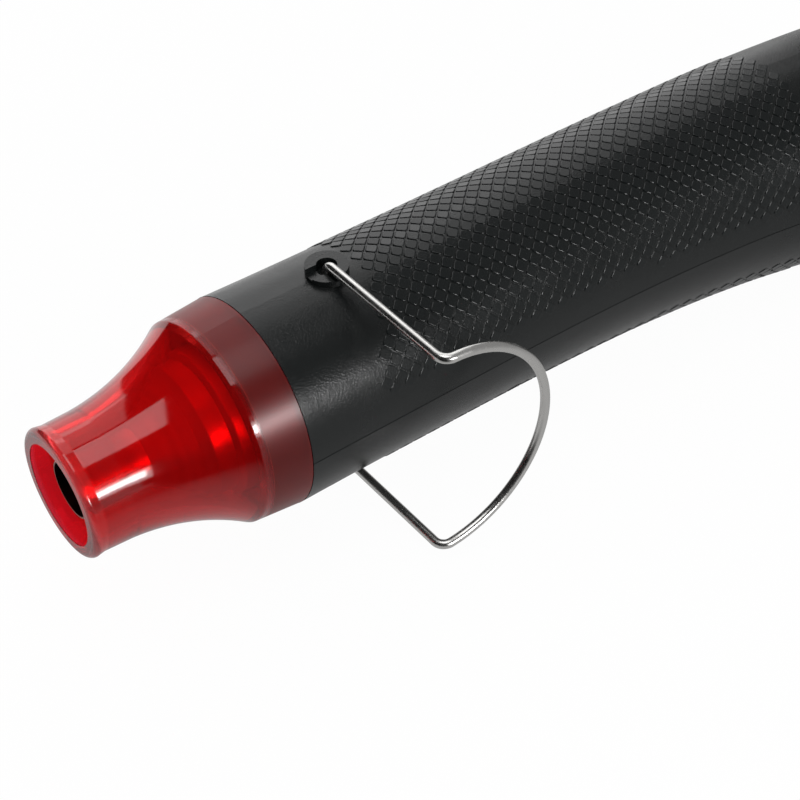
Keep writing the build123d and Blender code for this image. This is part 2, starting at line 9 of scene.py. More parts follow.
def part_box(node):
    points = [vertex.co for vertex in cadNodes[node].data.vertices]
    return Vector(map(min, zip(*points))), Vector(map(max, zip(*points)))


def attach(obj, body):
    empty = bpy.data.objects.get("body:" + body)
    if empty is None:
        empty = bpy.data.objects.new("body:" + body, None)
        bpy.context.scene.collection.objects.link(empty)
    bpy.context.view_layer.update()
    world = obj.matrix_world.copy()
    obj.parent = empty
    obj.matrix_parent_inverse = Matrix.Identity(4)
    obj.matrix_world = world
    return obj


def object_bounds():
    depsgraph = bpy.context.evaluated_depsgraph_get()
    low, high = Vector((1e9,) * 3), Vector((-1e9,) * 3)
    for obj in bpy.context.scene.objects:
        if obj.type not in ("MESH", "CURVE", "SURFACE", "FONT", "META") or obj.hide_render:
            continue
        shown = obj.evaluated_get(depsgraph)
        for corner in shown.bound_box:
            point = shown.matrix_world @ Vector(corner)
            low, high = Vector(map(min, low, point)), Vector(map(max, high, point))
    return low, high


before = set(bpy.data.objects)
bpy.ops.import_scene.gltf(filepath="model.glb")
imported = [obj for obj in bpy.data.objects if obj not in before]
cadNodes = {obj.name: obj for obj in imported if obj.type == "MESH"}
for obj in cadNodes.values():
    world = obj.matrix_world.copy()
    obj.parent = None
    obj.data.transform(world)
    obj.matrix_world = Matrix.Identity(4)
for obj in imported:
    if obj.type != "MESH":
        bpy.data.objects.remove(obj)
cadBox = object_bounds()
mm = 0.001

# the nozzle and the front of the handle share this axis; lengths along the tool start at the mouth
noseLow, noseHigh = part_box("nozzle")
mouthCentre = Vector((noseLow.x, (noseLow.y + noseHigh.y) / 2, (noseLow.z + noseHigh.z) / 2))


def addNode(tree, kind, place=(0, 0), inputs=None, **settings):
    node = tree.nodes.new(kind)
    node.location = place
    for key, value in settings.items():
        setattr(node, key, value)
    for key, value in (inputs or {}).items():
        node.inputs[key].default_value = value
    return node


def combine(tree, operation, place, *values, **settings):
    # a maths node, with a number or another node's output for each input
    node = addNode(tree, "ShaderNodeMath", place, operation=operation, **settings)
    for socket, value in zip(node.inputs, values):
        if isinstance(value, bpy.types.NodeSocket):
            tree.links.new(value, socket)
        else:
            socket.default_value = value
    return node.outputs[0]


def ramp(tree, value, place, ends, levels=(0.0, 1.0), **settings):
    # goes from the first level to the second while the value goes from one end to the other
    node = addNode(tree, "ShaderNodeMapRange", place, **settings)
    for label, number in zip(("From Min", "From Max", "To Min", "To Max"), (*ends, *levels)):
        node.inputs[label].default_value = number
    tree.links.new(value, node.inputs["Value"])
    return node.outputs["Result"]


def groupTree(name, inputs, outputs):
    # a shader group: its inputs with their first values, and the labels of its outputs
    tree = bpy.data.node_groups.new(name, "ShaderNodeTree")
    for label, value in inputs.items():
        kind = "NodeSocketVector" if isinstance(value, tuple) else "NodeSocketFloat"
        socket = tree.interface.new_socket(label, in_out="INPUT", socket_type=kind)
        socket.default_value = value
    for label in outputs:
        tree.interface.new_socket(label, in_out="OUTPUT", socket_type="NodeSocketFloat")
    return tree, addNode(tree, "NodeGroupInput", (-900, 0)), addNode(tree, "NodeGroupOutput", (900, 0))


# the pebbled finish of a spark-eroded mould, as a height
grainLook = {
    "pebbles": {"Detail": 2.0, "Roughness": 0.6},
    "specks": {"Randomness": 1.0},
    "patches": {"Scale": 90.0, "Detail": 3.0},
    "speckShare": 0.5,
    "patchShare": 0.3,
}


def makeSparkGrain():
    tree, given, out = groupTree("sparkGrain", {"Grain Size": 0.3 * mm}, ["Height"])
    link = tree.links.new
    coords = addNode(tree, "ShaderNodeTexCoord", (-900, -300))
    scale = combine(tree, "DIVIDE", (-700, 100), 1.0, given.outputs["Grain Size"])
    pebbles = addNode(tree, "ShaderNodeTexNoise", (-400, 200), grainLook["pebbles"])
    specks = addNode(tree, "ShaderNodeTexVoronoi", (-400, -100), grainLook["specks"])
    patches = addNode(tree, "ShaderNodeTexNoise", (-400, -400), grainLook["patches"])
    for texture in (pebbles, specks, patches):
        link(coords.outputs["Object"], texture.inputs["Vector"])
    for texture in (pebbles, specks):
        link(scale, texture.inputs["Scale"])
    grain = combine(
        tree, "MULTIPLY_ADD", (-100, 100), specks.outputs["Distance"], grainLook["speckShare"], pebbles.outputs["Fac"]
    )
    patched = combine(tree, "MULTIPLY", (50, -200), grain, patches.outputs["Fac"])
    fade = addNode(tree, "ShaderNodeMix", (200, 0), {"Factor": grainLook["patchShare"]}, data_type="FLOAT")
    link(grain, fade.inputs["A"])
    link(patched, fade.inputs["B"])
    link(fade.outputs["Result"], out.inputs["Height"])
    return tree


# faint smears and dust that change roughness and colour a little
marksLook = {
    "smears": {"Detail": 4.0, "Roughness": 0.65, "Distortion": 0.6},
    "smearEnds": {"From Min": 0.35, "From Max": 0.65},
    "dust": {"Scale": 1400.0, "Detail": 3.0, "Roughness": 0.75},
    "dustEnds": (0.68, 0.8),
}


def makeHandlingMarks():
    tree, given, out = groupTree(
        "handlingMarks", {"Smear Size": 12 * mm, "Low": 0.3, "High": 0.45}, ["Roughness", "Dust"]
    )
    link = tree.links.new
    coords = addNode(tree, "ShaderNodeTexCoord", (-900, -300))
    scale = combine(tree, "DIVIDE", (-700, 100), 1.0, given.outputs["Smear Size"])
    smears = addNode(tree, "ShaderNodeTexNoise", (-400, 200), marksLook["smears"])
    dust = addNode(tree, "ShaderNodeTexNoise", (-400, -200), marksLook["dust"])
    spread = addNode(tree, "ShaderNodeMapRange", (0, 200), marksLook["smearEnds"])
    for texture in (smears, dust):
        link(coords.outputs["Object"], texture.inputs["Vector"])
    link(scale, smears.inputs["Scale"])
    link(smears.outputs["Fac"], spread.inputs["Value"])
    link(given.outputs["Low"], spread.inputs["To Min"])
    link(given.outputs["High"], spread.inputs["To Max"])
    link(spread.outputs["Result"], out.inputs["Roughness"])
    link(ramp(tree, dust.outputs["Fac"], (0, -200), marksLook["dustEnds"]), out.inputs["Dust"])
    return tree


# lines stretched across one direction, fine ones as a height and coarse ones as a shade
linesLook = {"Scale": 1.0, "Detail": 3.0}


def makeDrawnLines():
    tree, given, out = groupTree(
        "drawnLines", {"Fine": (4000.0, 60.0, 60.0), "Coarse": (700.0, 12.0, 12.0)}, ["Height", "Shade"]
    )
    coords = addNode(tree, "ShaderNodeTexCoord", (-900, -300))
    for label, result, level in (("Fine", "Height", 200), ("Coarse", "Shade", -200)):
        stretch = addNode(tree, "ShaderNodeVectorMath", (-500, level), operation="MULTIPLY")
        noise = addNode(tree, "ShaderNodeTexNoise", (-200, level), linesLook)
        tree.links.new(coords.outputs["Object"], stretch.inputs[0])
        tree.links.new(given.outputs[label], stretch.inputs[1])
        tree.links.new(stretch.outputs[0], noise.inputs["Vector"])
        tree.links.new(noise.outputs["Fac"], out.inputs[result])
    return tree


sparkGrain = makeSparkGrain()
handlingMarks = makeHandlingMarks()
drawnLines = makeDrawnLines()


class Finish:
    # one material with a Principled shader, and short ways to feed it from a piece's settings
    def __init__(self, name, look):
        self.look = look
        self.material = bpy.data.materials.new(name)
        self.material.use_nodes = True
        self.material.diffuse_color = (*look["colour"], 1)
        self.tree = self.material.node_tree
        self.shader = self.tree.nodes["Principled BSDF"]
        self.shader.inputs["Base Color"].default_value = (*look["colour"], 1)
        self.shader.inputs["Roughness"].default_value = look["low"]
        for label, value in look["sockets"].items():
            self.shader.inputs[label].default_value = value

    def link(self, source, target):
        self.tree.links.new(source, target)

    def group(self, tree, place, inputs):
        return addNode(self.tree, "ShaderNodeGroup", place, inputs, node_tree=tree)

    def handled(self):
        look = self.look
        ends = {"Smear Size": look["smear"], "Low": look["low"], "High": look["high"]}
        marks = self.group(handlingMarks, (-600, -100), ends)
        self.link(marks.outputs["Roughness"], self.shader.inputs["Roughness"])
        if "dust" in look:
            self.tint(marks.outputs["Dust"], look["dustColour"], look["dust"])

    def tint(self, mask, colour, share=1.0):
        # lays another colour over what is there by a mask
        amount = combine(self.tree, "MULTIPLY", (-500, 200), mask, share, use_clamp=True)
        mix = addNode(self.tree, "ShaderNodeMix", (-250, 250), data_type="RGBA")
        into = self.shader.inputs["Base Color"]
        self.link(amount, mix.inputs["Factor"])
        if into.links:
            self.link(into.links[0].from_socket, mix.inputs["A"])
        else:
            mix.inputs["A"].default_value = (*self.look["colour"], 1)
        mix.inputs["B"].default_value = (*colour, 1)
        self.link(mix.outputs["Result"], into)

    def bumped(self, height, strength, depth):
        bump = addNode(self.tree, "ShaderNodeBump", (-250, -350), {"Strength": strength, "Distance": depth})
        self.link(height, bump.inputs["Height"])
        self.link(bump.outputs["Normal"], self.shader.inputs["Normal"])

    def grained(self):
        look = self.look
        grain = self.group(sparkGrain, (-600, -400), {"Grain Size": look["grain"]})
        self.bumped(grain.outputs["Height"], look["strength"], look["grainDepth"])

    def drawn(self):
        look = self.look
        lines = self.group(drawnLines, (-600, -600), {"Fine": look["fine"], "Coarse": look["coarse"]})
        self.bumped(lines.outputs["Height"], look["lineStrength"], look["lineDepth"])
        self.tint(lines.outputs["Shade"], look["shade"], look["shadeShare"])

    def fromMouth(self):
        # how far along the tool a point is, and its way out from the axis
        coords = addNode(self.tree, "ShaderNodeTexCoord", (-1500, 700))
        offset = addNode(self.tree, "ShaderNodeVectorMath", (-1300, 700), {1: mouthCentre}, operation="SUBTRACT")
        parts = addNode(self.tree, "ShaderNodeSeparateXYZ", (-1100, 900))
        outward = addNode(self.tree, "ShaderNodeVectorMath", (-1100, 700), {1: (0, 1, 1)}, operation="MULTIPLY")
        self.link(coords.outputs["Object"], offset.inputs[0])
        self.link(offset.outputs[0], parts.inputs["Vector"])
        self.link(offset.outputs[0], outward.inputs[0])
        return parts.outputs["X"], outward.outputs[0]


# black shells and their grip squares: satin moulding with a pebbled spark finish
gripBlack = {
    "smear": 16 * mm,
    "dust": 0.25,
    "dustColour": (0.08, 0.08, 0.08),
    "grainDepth": 0.04 * mm,
    "sockets": {"IOR": 1.5, "Specular IOR Level": 0.5},
}
gripSkin = {"colour": (0.006, 0.0072, 0.0072), "low": 0.2, "high": 0.28, "grain": 0.34 * mm, "strength": 1.0}
gripSquares = {"colour": (0.006, 0.0074, 0.0076), "low": 0.13, "high": 0.2, "grain": 0.3 * mm, "strength": 0.35}

# frame and rocker of the switch: glossy black moulding
glossBlack = {
    "colour": (0.008, 0.008, 0.009),
    "low": 0.1,
    "high": 0.22,
    "smear": 6 * mm,
    "dust": 0.2,
    "dustColour": (0.1, 0.1, 0.1),
    "grain": 0.5 * mm,
    "strength": 0.06,
    "grainDepth": 0.01 * mm,
    "sockets": {"IOR": 1.5},
}


def makeMoulding(name, look):
    finish = Finish(name, look)
    finish.handled()
    finish.grained()
    return finish


# see-through red cap: polished cone, more satin collar with a painted shade that deepens its red, paler lip, and a
# painted light that brightens the wall of the mouth
redClear = {
    "colour": (0.68, 0.01, 0.012),
    "low": 0.06,
    "high": 0.1,
    "smear": 9 * mm,
    "sockets": {
        "IOR": 1.49,
        "Transmission Weight": 0.9,
        "Specular IOR Level": 0.3,
        "Coat Roughness": 0.07,
        "Coat IOR": 1.49,
    },
    "coat": 0.4,
    "lipColour": (0.95, 0.34, 0.36),
    "lipReach": 1.6 * mm,
    # painted light: a brighter red for the wall of the mouth
    "borePaintedLight": (0.97, 0.012, 0.035),
    "boreReach": 3.4 * mm,
    "boreRadius": 10.7 * mm,
    # painted shade: a darker red for the collar
    "collarPaintedShade": (0.4, 0.014, 0.01),
    "collarEnds": (29.2 * mm, 30.4 * mm),
    "collarSatin": 0.3,
    "shadow": (0.9, 0.12, 0.12),
}


def makeRedClear():
    finish = Finish("redClear", redClear)
    finish.handled()
    tree, shader = finish.tree, finish.shader
    along, outward = finish.fromMouth()
    lip = ramp(tree, along, (-900, 300), (redClear["lipReach"], 0.0), interpolation_type="SMOOTHSTEP")
    finish.tint(lip, redClear["lipColour"])
    # painted light: the wall of the mouth is lit from both sides and looks brighter, so a brighter red is painted on
    # it
    radius = addNode(tree, "ShaderNodeVectorMath", (-900, 900), operation="LENGTH")
    finish.link(outward, radius.inputs[0])
    narrow = combine(tree, "LESS_THAN", (-700, 900), radius.outputs["Value"], redClear["boreRadius"])
    front = combine(tree, "LESS_THAN", (-700, 1050), along, redClear["boreReach"])
    finish.tint(combine(tree, "MULTIPLY", (-500, 900), narrow, front), redClear["borePaintedLight"])
    # painted shade: the collar gets a darker red where the black housing behind it and its shadow darken it; the same
    # mask makes it more satin
    collar = ramp(tree, along, (-900, 600), redClear["collarEnds"], interpolation_type="SMOOTHSTEP")
    finish.tint(collar, redClear["collarPaintedShade"])
    satin = addNode(tree, "ShaderNodeMix", (-300, -100), {"B": redClear["collarSatin"]}, data_type="FLOAT")
    finish.link(collar, satin.inputs["Factor"])
    finish.link(shader.inputs["Roughness"].links[0].from_socket, satin.inputs["A"])
    finish.link(satin.outputs["Result"], shader.inputs["Roughness"])
    # the cone alone has the gloss coat
    cone = combine(tree, "SUBTRACT", (-300, -700), 1.0, collar)
    finish.link(combine(tree, "MULTIPLY", (-100, -700), cone, redClear["coat"]), shader.inputs["Coat Weight"])
    # light reaches the steel through the cap
    paths = addNode(tree, "ShaderNodeLightPath", (0, 500))
    through = addNode(tree, "ShaderNodeBsdfTransparent", (0, -500), {"Color": (*redClear["shadow"], 1)})
    mix = addNode(tree, "ShaderNodeMixShader", (400, 200))
    finish.link(paths.outputs["Is Shadow Ray"], mix.inputs["Fac"])
    finish.link(shader.outputs[0], mix.inputs[1])
    finish.link(through.outputs[0], mix.inputs[2])
    finish.link(mix.outputs[0], tree.nodes["Material Output"].inputs["Surface"])
    return finish


# steel shroud: fine rings round its axis outside, and a painted shade that darkens its inside nearly to black
shroudSteel = {
    "colour": (0.86, 0.85, 0.82),
    "low": 0.28,
    "high": 0.42,
    "smear": 4 * mm,
    "sockets": {"Metallic": 1.0},
    "fine": (2600.0, 30.0, 30.0),
    "coarse": (500.0, 10.0, 10.0),
    "lineStrength": 0.35,
    "lineDepth": 0.03 * mm,
    "shade": (0.3, 0.28, 0.26),
    "shadeShare": 0.7,
    # heat has browned the outlet tube, and dulled the steel behind the cone a little
    "heat": [
        {"ends": (15 * mm, 12 * mm), "colour": (0.3, 0.25, 0.21), "share": 0.8},
        {"ends": (22.5 * mm, 24.5 * mm), "colour": (0.5, 0.47, 0.44), "share": 0.6},
    ],
    # painted shade: the inside of the tube darkened nearly to black
    "insideShade": (0.02, 0.018, 0.016),
    "insideShadeShare": 0.95,
    "insideShadeEnds": (-0.2, -0.5),
}


def makeShroudSteel():
    finish = Finish("shroudSteel", shroudSteel)
    finish.drawn()
    tree = finish.tree
    along, outward = finish.fromMouth()
    for heat in shroudSteel["heat"]:
        finish.tint(ramp(tree, along, (-700, 900), heat["ends"]), heat["colour"], heat["share"])
    # faces that look back at the axis are the inside, which gets the painted shade
    straight = addNode(tree, "ShaderNodeVectorMath", (-900, 600), operation="NORMALIZE")
    surface = addNode(tree, "ShaderNodeNewGeometry", (-900, 800))
    facing = addNode(tree, "ShaderNodeVectorMath", (-700, 600), operation="DOT_PRODUCT")
    finish.link(outward, straight.inputs[0])
    finish.link(straight.outputs[0], facing.inputs[0])
    finish.link(surface.outputs["True Normal"], facing.inputs[1])
    inside = ramp(tree, facing.outputs["Value"], (-500, 600), shroudSteel["insideShadeEnds"])
    finish.tint(inside, shroudSteel["insideShade"], shroudSteel["insideShadeShare"])
    finish.handled()
    return finish


# polished stainless rod
rodSteel = {
    "colour": (0.8, 0.79, 0.77),
    "low": 0.22,
    "high": 0.32,
    "smear": 3 * mm,
    "dust": 0.4,
    "dustColour": (0.5, 0.49, 0.48),
    "sockets": {"Metallic": 1.0},
}


def makeRodSteel():
    finish = Finish("rodSteel", rodSteel)
    finish.handled()
    return finish


# finishes of the inner pieces: colour, roughness low and high, second colour and its share, metallic
innerFinishes = {
    "micaBoard": ((0.62, 0.53, 0.36), 0.35, 0.6, (0.8, 0.76, 0.62), 0.6, 0.0),
    "heatingWire": ((0.34, 0.31, 0.29), 0.35, 0.55, (0.2, 0.12, 0.1), 0.5, 1.0),
    "elementCeramic": ((0.8, 0.78, 0.72), 0.55, 0.75, (0.6, 0.56, 0.48), 0.4, 0.0),
    "cutoutGlaze": ((0.78, 0.73, 0.62), 0.15, 0.3, (0.6, 0.52, 0.4), 0.3, 0.0),
    "fanPlastic": ((0.03, 0.03, 0.033), 0.35, 0.5, (0.12, 0.12, 0.12), 0.4, 0.0),
    "motorSteel": ((0.56, 0.56, 0.55), 0.25, 0.4, (0.36, 0.35, 0.33), 0.5, 1.0),
    "turnedBrass": ((0.72, 0.5, 0.2), 0.22, 0.36, (0.42, 0.27, 0.1), 0.5, 1.0),
    "mountPlastic": ((0.035, 0.035, 0.037), 0.4, 0.6, (0.1, 0.1, 0.1), 0.3, 0.0),
    "paperBoard": ((0.3, 0.2, 0.07), 0.4, 0.6, (0.42, 0.32, 0.16), 0.5, 0.0),
    "diodeEpoxy": ((0.02, 0.02, 0.021), 0.2, 0.35, (0.08, 0.08, 0.08), 0.3, 0.0),
    "leadSleeve": ((0.62, 0.61, 0.56), 0.7, 0.85, (0.42, 0.4, 0.34), 0.5, 0.0),
    "blackScrew": ((0.1, 0.1, 0.105), 0.28, 0.45, (0.3, 0.29, 0.28), 0.6, 1.0),
    "inletRubber": ((0.014, 0.014, 0.014), 0.5, 0.68, (0.06, 0.06, 0.06), 0.3, 0.0),
}
# what all of them share
innerSurface = {
    "smear": 5 * mm,
    "fine": (1800.0, 1800.0, 1800.0),
    "coarse": (260.0, 260.0, 260.0),
    "lineStrength": 0.15,
    "lineDepth": 0.02 * mm,
}


def makeInner(name):
    colour, low, high, second, share, metallic = innerFinishes[name]
    own = {"colour": colour, "low": low, "high": high, "shade": second, "shadeShare": share}
    finish = Finish(name, {**innerSurface, **own, "sockets": {"Metallic": metallic}})
    finish.handled()
    finish.drawn()
    return finish


inner = {name: makeInner(name) for name in innerFinishes}
blackGrip = makeMoulding("gripBlackSkin", {**gripBlack, **gripSkin})
blackPads = makeMoulding("gripBlackPads", {**gripBlack, **gripSquares})
blackGloss = makeMoulding("glossBlack", glossBlack)
redCap = makeRedClear()
shroud = makeShroudSteel()
rod = makeRodSteel()
print("finishes made:", len(inner) + len((blackGrip, blackPads, blackGloss, redCap, shroud, rod)))

# every CAD node keeps its shape and gets its finish; each row also names a slot
dressing = [
    ("nozzle", redCap, "nozzle_red"),
    ("outlet_tube", shroud, "shroud_steel"),
    ("left_housing", blackGrip, "housing_black"),
    ("right_housing", blackGrip, "housing_black"),
    ("stand_wire", rod, "stand_steel"),
    ("mica_sleeve", inner["micaBoard"], "mica"),
    ("mica_plate_a", inner["micaBoard"], "mica"),
    ("mica_plate_b", inner["micaBoard"], "mica"),
    ("heating_coil", inner["heatingWire"], "resistance_wire"),
    ("element_holder", inner["elementCeramic"], "ceramic"),
    ("thermal_cutout", inner["cutoutGlaze"], "cutout_body"),
    ("fan", inner["fanPlastic"], "fan_plastic"),
    ("motor_shaft", inner["motorSteel"], "motor_steel"),
    ("motor_can", inner["motorSteel"], "motor_steel"),
    ("motor_bush", inner["turnedBrass"], "bush_brass"),
    ("switch_terminals", inner["turnedBrass"], "bush_brass"),
    ("motor_end_cap", inner["mountPlastic"], "mount_plastic"),
    ("motor_mount", inner["mountPlastic"], "mount_plastic"),
    ("cord_clamp", inner["mountPlastic"], "mount_plastic"),
    ("circuit_board", inner["paperBoard"], "board"),
    ("rectifier_diodes", inner["diodeEpoxy"], "diode_black"),
    ("heater_leads", inner["leadSleeve"], "lead_cover"),
    ("switch_leads", inner["leadSleeve"], "lead_cover"),
    ("switch_frame", blackGloss, "switch_black"),
    ("rocker", blackGloss, "switch_black"),
    ("housing_screws", inner["blackScrew"], "screw_steel"),
    ("clamp_screws", inner["blackScrew"], "screw_steel"),
    ("inlet_bush", inner["inletRubber"], "bush_rubber"),
]
for nodeName, finish, slotName in dressing:
    node = cadNodes[nodeName]
    node.data.materials.clear()
    node.data.materials.append(finish.material)
print("nodes dressed:", len(dressing))

# raised squares of the grip; lengths from the mouth, the borders as tables of plain degrees and millimetres
gripPads = {
    "pitch": 2.25 * mm,
    "groove": 0.2 * mm,
    "height": 0.15 * mm,
    "sink": 0.1 * mm,
    "bevel": 0.13 * mm,
    "crown": 0.1 * mm,
    "corner": 0.25 * mm,
    "sewnWithin": 0.001 * mm,
    "front": 53.0 * mm,
    "rear": 159.0 * mm,
    # first row by the angle up from the belly seam
    "frontByAngle": (
        (0, 54.0), (23, 54.2), (34.5, 55.6), (48, 57.5), (62, 60.1), (94, 62.0), (121, 62.0), (180, 62.0)
    ),
    # bare strip beside the belly seam by the length from the mouth, and what the far shell adds to it
    "bellyByReach": ((56, 5.7), (105, 5.6), (115, 4.8), (136, 4.6), (150, 4.1), (160, 4.1)),
    "farBelly": 8.0 * mm,
    "backMargin": 4.6 * mm,
    "bossCentre": 55.7 * mm,
    "bossMargin": 5.4 * mm,
    # ahead of this the boss would upset the measured form
    "smoothFrom": 63.0 * mm,
    "rimSteps": 180,
    "probe": 60 * mm,
}


def shellTree():
    # the handle's own form, read back from the two shells
    both = bmesh.new()
    for name in ("left_housing", "right_housing"):
        both.from_mesh(cadNodes[name].data)
    tree = BVHTree.FromBMesh(both)
    both.free()
    return tree


shells = shellTree()


def extent(x, y, z, direction):
    # distance from a point inside the handle out to its skin
    start = Vector((x, y, z)) + Vector(direction) * gripPads["probe"]
    hit = shells.ray_cast(start, -Vector(direction))
    return gripPads["probe"] - hit[3]


def section(x):
    # centre, half width across the shells and half depth from belly to back, measured just off the seam
    top = mouthCentre.y + extent(x, mouthCentre.y, mouthCentre.z + mm, (0, 1, 0))
    bottom = mouthCentre.y - extent(x, mouthCentre.y, mouthCentre.z + mm, (0, -1, 0))
    centre = (top + bottom) / 2
    return centre, extent(x, centre, mouthCentre.z, (0, 0, 1)), (top - bottom) / 2


def between(table, x):
    # straight lines between the points of a table
    for (x0, y0), (x1, y1) in zip(table, table[1:]):
        if x <= x1:
            return y0 + (y1 - y0) * max(0.0, (x - x0) / (x1 - x0))
    return table[-1][1]


def rimArc(halfWidth, halfDepth):
    # arc length from the belly seam round one side, at even steps of the ellipse's angle
    steps = gripPads["rimSteps"]
    points = [
        Vector((-halfDepth * cos(pi * step / steps), halfWidth * sin(pi * step / steps))) for step in range(steps + 1)
    ]
    lengths = [0.0]
    for first, second in zip(points, points[1:]):
        lengths.append(lengths[-1] + (second - first).length)
    return lengths


def padPlaces(side):
    # lattice of squares set on their corners, at a steady pitch along the skin: point, normal and way to the tail
    half = gripPads["pitch"] / 2 ** 0.5
    margin = 0.0 if side > 0 else gripPads["farBelly"]
    steps = gripPads["rimSteps"]
    rows = int((gripPads["rear"] - gripPads["front"]) / half)
    places = []
    for row in range(rows + 1):
        reach = gripPads["front"] + row * half
        x = mouthCentre.x + reach
        formX = mouthCentre.x + max(reach, gripPads["smoothFrom"])
        centre, halfWidth, halfDepth = section(formX)
        nextCentre, nextWidth, nextDepth = section(formX + mm)
        lengths = rimArc(halfWidth, halfDepth)
        number = 0
        arc = half * (row % 2)
        while arc < lengths[-1]:
            while lengths[number + 1] < arc:
                number += 1
            share = (arc - lengths[number]) / (lengths[number + 1] - lengths[number])
            turn = pi * (number + share) / steps
            y = centre - halfDepth * cos(turn)
            z = halfWidth * sin(turn)
            isGripped = (
                reach / mm > between(gripPads["frontByAngle"], turn * 180 / pi)
                and (arc - margin) / mm > between(gripPads["bellyByReach"], reach / mm)
                and lengths[-1] - arc > gripPads["backMargin"]
                and Vector((reach - gripPads["bossCentre"], y - mouthCentre.y)).length > gripPads["bossMargin"]
            )
            if isGripped:
                slope = Vector((mm, (nextCentre - nextDepth * cos(turn)) - y, nextWidth * sin(turn) - z))
                tangent = Vector((0, halfDepth * sin(turn), halfWidth * cos(turn)))
                normal = slope.cross(tangent).normalized() * -1
                if normal.z * sin(turn) + normal.y * -cos(turn) < 0:
                    normal = -normal
                places.append((
                    Vector((x, y, mouthCentre.z + side * z)),
                    Vector((normal.x, normal.y, side * normal.z)),
                    Vector((slope.x, slope.y, side * slope.z)).normalized(),
                ))
            arc += 2 * half
    return places


def narrowTop(tree, raised, inset, width, place):
    # draws the raised face in by an inset on every side
    x, y = place
    double = combine(tree, "MULTIPLY", (x - 400, y - 500), 2.0, inset)
    ratio = combine(tree, "DIVIDE", (x - 200, y - 500), double, width)
    narrowed = addNode(tree, "GeometryNodeScaleElements", place)
    tree.links.new(raised.outputs["Mesh"], narrowed.inputs["Geometry"])
    tree.links.new(raised.outputs["Top"], narrowed.inputs["Selection"])
    tree.links.new(combine(tree, "SUBTRACT", (x, y - 500), 1.0, ratio), narrowed.inputs["Scale"])
    return narrowed


